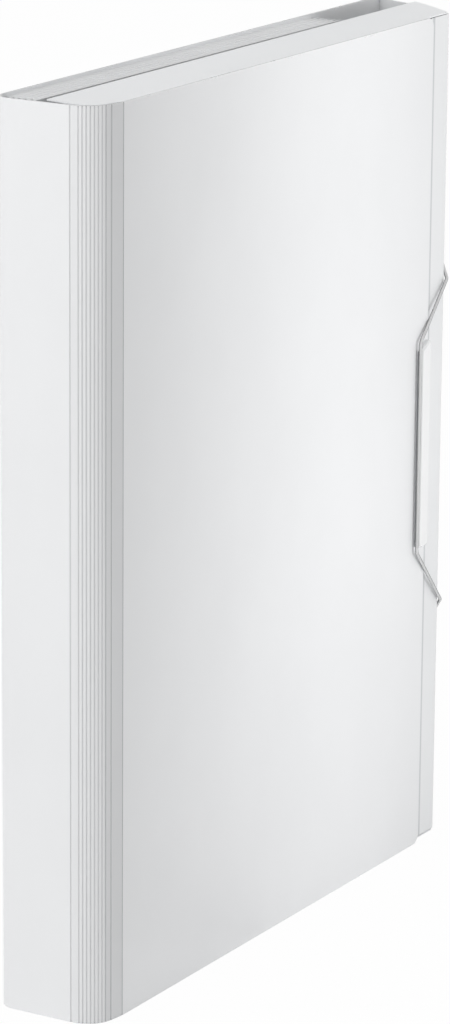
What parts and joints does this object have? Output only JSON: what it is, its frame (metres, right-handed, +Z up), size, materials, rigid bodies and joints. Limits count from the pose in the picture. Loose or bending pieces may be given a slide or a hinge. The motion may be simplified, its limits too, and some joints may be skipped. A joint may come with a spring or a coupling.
{
  "type": "expanding file",
  "caption": "Expanding document file with a ribbed folding spine, tabbed divider pockets, folding side flaps and an elastic closure.",
  "frame": {"origin": "middle of the file's footprint at the standing edge", "axes": "+Z up along the long side, +X from the spine towards the mouth, +Y from the front cover towards the back cover"},
  "size_m": [0.2732, 0.0462, 0.3306],
  "materials": {
    "shell_plastic": "white polypropylene sheet with a fine brushed emboss",
    "flap_plastic": "smooth white polypropylene sheet",
    "side_flap_plastic": "thin pale grey polypropylene film",
    "pocket_plastic": "frosted white polypropylene sheet",
    "gusset_plastic": "thin frosted polypropylene film",
    "clear_plastic": "clear moulded plastic",
    "elastic_cord": "translucent elastic cord",
    "eyelet_plastic": "white moulded plastic"
  },
  "bodies": {
    "shell": {"back_cover": "shell_plastic", "spine_panel": "shell_plastic", "pocket_binding": "pocket_plastic", "rear_pocket_sheet": "pocket_plastic"},
    "hinge_rib_01": {"hinge_rib_01": "shell_plastic"},
    "hinge_rib_02": {"hinge_rib_02": "shell_plastic"},
    "hinge_rib_03": {"hinge_rib_03": "shell_plastic"},
    "hinge_rib_04": {"hinge_rib_04": "shell_plastic"},
    "hinge_rib_05": {"hinge_rib_05": "shell_plastic"},
    "hinge_rib_06": {"hinge_rib_06": "shell_plastic"},
    "hinge_rib_07": {"hinge_rib_07": "shell_plastic"},
    "hinge_rib_08": {"hinge_rib_08": "shell_plastic"},
    "hinge_rib_09": {"hinge_rib_09": "shell_plastic"},
    "hinge_rib_10": {"hinge_rib_10": "shell_plastic"},
    "front_cover": {"front_cover": "shell_plastic", "closure_clip": "clear_plastic", "clip_backing": "clear_plastic", "top_flap_strip": "side_flap_plastic", "bottom_flap_strip": "side_flap_plastic"},
    "top_flap": {"top_flap": "side_flap_plastic"},
    "bottom_flap": {"bottom_flap": "side_flap_plastic"},
    "closure_flap": {"closure_wall": "flap_plastic", "upper_eyelet": "eyelet_plastic", "lower_eyelet": "eyelet_plastic", "upper_stop": "eyelet_plastic", "lower_stop": "eyelet_plastic"},
    "closure_lip": {"closure_lip": "flap_plastic"},
    "elastic": {"elastic_loop": "elastic_cord"},
    "divider_1": {"divider_1": "pocket_plastic", "top_gusset_1": "gusset_plastic", "bottom_gusset_1": "gusset_plastic"},
    "divider_2": {"divider_2": "pocket_plastic", "top_gusset_2": "gusset_plastic", "bottom_gusset_2": "gusset_plastic"},
    "divider_3": {"divider_3": "pocket_plastic", "top_gusset_3": "gusset_plastic", "bottom_gusset_3": "gusset_plastic"},
    "divider_4": {"divider_4": "pocket_plastic", "top_gusset_4": "gusset_plastic", "bottom_gusset_4": "gusset_plastic"},
    "divider_5": {"divider_5": "pocket_plastic", "top_gusset_5": "gusset_plastic", "bottom_gusset_5": "gusset_plastic"}
  },
  "joints": [
    {"name": "cover_hinge", "type": "hinge", "parent": "shell", "child": "front_cover", "pos_m": [-0.1362, -0.0203, 0.165], "axis": [0, 0, -1], "range_deg": [0, 180]},
    {"name": "rib_01_unroll", "type": "hinge", "parent": "shell", "child": "hinge_rib_01", "pos_m": [-0.1362, -0.00874, 0.165], "axis": [0, 0, -1], "range_deg": [0, 16.36]},
    {"name": "rib_02_unroll", "type": "hinge", "parent": "shell", "child": "hinge_rib_02", "pos_m": [-0.1362, -0.01031, 0.165], "axis": [0, 0, -1], "range_deg": [0, 32.73]},
    {"name": "rib_03_unroll", "type": "hinge", "parent": "shell", "child": "hinge_rib_03", "pos_m": [-0.1362, -0.01131, 0.165], "axis": [0, 0, -1], "range_deg": [0, 49.09]},
    {"name": "rib_04_unroll", "type": "hinge", "parent": "shell", "child": "hinge_rib_04", "pos_m": [-0.1362, -0.01219, 0.165], "axis": [0, 0, -1], "range_deg": [0, 65.46]},
    {"name": "rib_05_unroll", "type": "hinge", "parent": "shell", "child": "hinge_rib_05", "pos_m": [-0.1362, -0.01304, 0.165], "axis": [0, 0, -1], "range_deg": [0, 81.82]},
    {"name": "rib_06_unroll", "type": "hinge", "parent": "shell", "child": "hinge_rib_06", "pos_m": [-0.1362, -0.01391, 0.165], "axis": [0, 0, -1], "range_deg": [0, 98.18]},
    {"name": "rib_07_unroll", "type": "hinge", "parent": "shell", "child": "hinge_rib_07", "pos_m": [-0.1362, -0.01481, 0.165], "axis": [0, 0, -1], "range_deg": [0, 114.55]},
    {"name": "rib_08_unroll", "type": "hinge", "parent": "shell", "child": "hinge_rib_08", "pos_m": [-0.1362, -0.01578, 0.165], "axis": [0, 0, -1], "range_deg": [0, 130.91]},
    {"name": "rib_09_unroll", "type": "hinge", "parent": "shell", "child": "hinge_rib_09", "pos_m": [-0.1362, -0.01683, 0.165], "axis": [0, 0, -1], "range_deg": [0, 147.27]},
    {"name": "rib_10_unroll", "type": "hinge", "parent": "shell", "child": "hinge_rib_10", "pos_m": [-0.1362, -0.01815, 0.165], "axis": [0, 0, -1], "range_deg": [0, 163.64]},
    {"name": "top_flap_crease", "type": "hinge", "parent": "front_cover", "child": "top_flap", "pos_m": [-0.0181, -0.0199, 0.3298], "axis": [1, 0, 0], "range_deg": [0, 88]},
    {"name": "bottom_flap_crease", "type": "hinge", "parent": "front_cover", "child": "bottom_flap", "pos_m": [-0.0181, -0.0199, 0.0002], "axis": [-1, 0, 0], "range_deg": [0, 90]},
    {"name": "closure_crease", "type": "hinge", "parent": "shell", "child": "closure_flap", "pos_m": [0.1366, 0.0231, 0.165], "axis": [0, 0, 1], "range_deg": [0, 116]},
    {"name": "lip_crease", "type": "hinge", "parent": "closure_flap", "child": "closure_lip", "pos_m": [0.1166, -0.0185, 0.165], "axis": [0, 0, -1], "range_deg": [0, 60]},
    {"name": "elastic_unhook", "type": "hinge", "parent": "closure_flap", "child": "elastic", "pos_m": [0.12144, -0.0117, 0.1646], "axis": [0, 0, 1], "range_deg": [0, 75], "deforming": ["elastic_loop"]},
    {"name": "divider_1_fold", "type": "hinge", "parent": "shell", "child": "divider_1", "pos_m": [-0.1344, 0.00965, 0.165], "axis": [0, 0, -1], "range_deg": [0, 32.4], "deforming": ["top_gusset_1", "bottom_gusset_1"]},
    {"name": "divider_2_fold", "type": "hinge", "parent": "shell", "child": "divider_2", "pos_m": [-0.1344, 0.01213, 0.165], "axis": [0, 0, -1], "range_deg": [0, 25.92], "deforming": ["top_gusset_2", "bottom_gusset_2"]},
    {"name": "divider_3_fold", "type": "hinge", "parent": "shell", "child": "divider_3", "pos_m": [-0.1344, 0.01461, 0.165], "axis": [0, 0, -1], "range_deg": [0, 19.44], "deforming": ["top_gusset_3", "bottom_gusset_3"]},
    {"name": "divider_4_fold", "type": "hinge", "parent": "shell", "child": "divider_4", "pos_m": [-0.1344, 0.01709, 0.165], "axis": [0, 0, -1], "range_deg": [0, 12.96], "deforming": ["top_gusset_4", "bottom_gusset_4"]},
    {"name": "divider_5_fold", "type": "hinge", "parent": "shell", "child": "divider_5", "pos_m": [-0.1344, 0.01957, 0.165], "axis": [0, 0, -1], "range_deg": [0, 6.48], "deforming": ["top_gusset_5", "bottom_gusset_5"]}
  ],
  "couplings": [
    {"joint": "rib_01_unroll", "follows": "cover_hinge", "ratio": 0.090909},
    {"joint": "rib_02_unroll", "follows": "cover_hinge", "ratio": 0.18182},
    {"joint": "rib_03_unroll", "follows": "cover_hinge", "ratio": 0.27273},
    {"joint": "rib_04_unroll", "follows": "cover_hinge", "ratio": 0.36364},
    {"joint": "rib_05_unroll", "follows": "cover_hinge", "ratio": 0.45455},
    {"joint": "rib_06_unroll", "follows": "cover_hinge", "ratio": 0.54545},
    {"joint": "rib_07_unroll", "follows": "cover_hinge", "ratio": 0.63636},
    {"joint": "rib_08_unroll", "follows": "cover_hinge", "ratio": 0.72727},
    {"joint": "rib_09_unroll", "follows": "cover_hinge", "ratio": 0.81818},
    {"joint": "rib_10_unroll", "follows": "cover_hinge", "ratio": 0.90909},
    {"joint": "divider_1_fold", "follows": "cover_hinge", "ratio": 0.18},
    {"joint": "divider_2_fold", "follows": "cover_hinge", "ratio": 0.144},
    {"joint": "divider_3_fold", "follows": "cover_hinge", "ratio": 0.108},
    {"joint": "divider_4_fold", "follows": "cover_hinge", "ratio": 0.072},
    {"joint": "divider_5_fold", "follows": "cover_hinge", "ratio": 0.036}
  ]
}
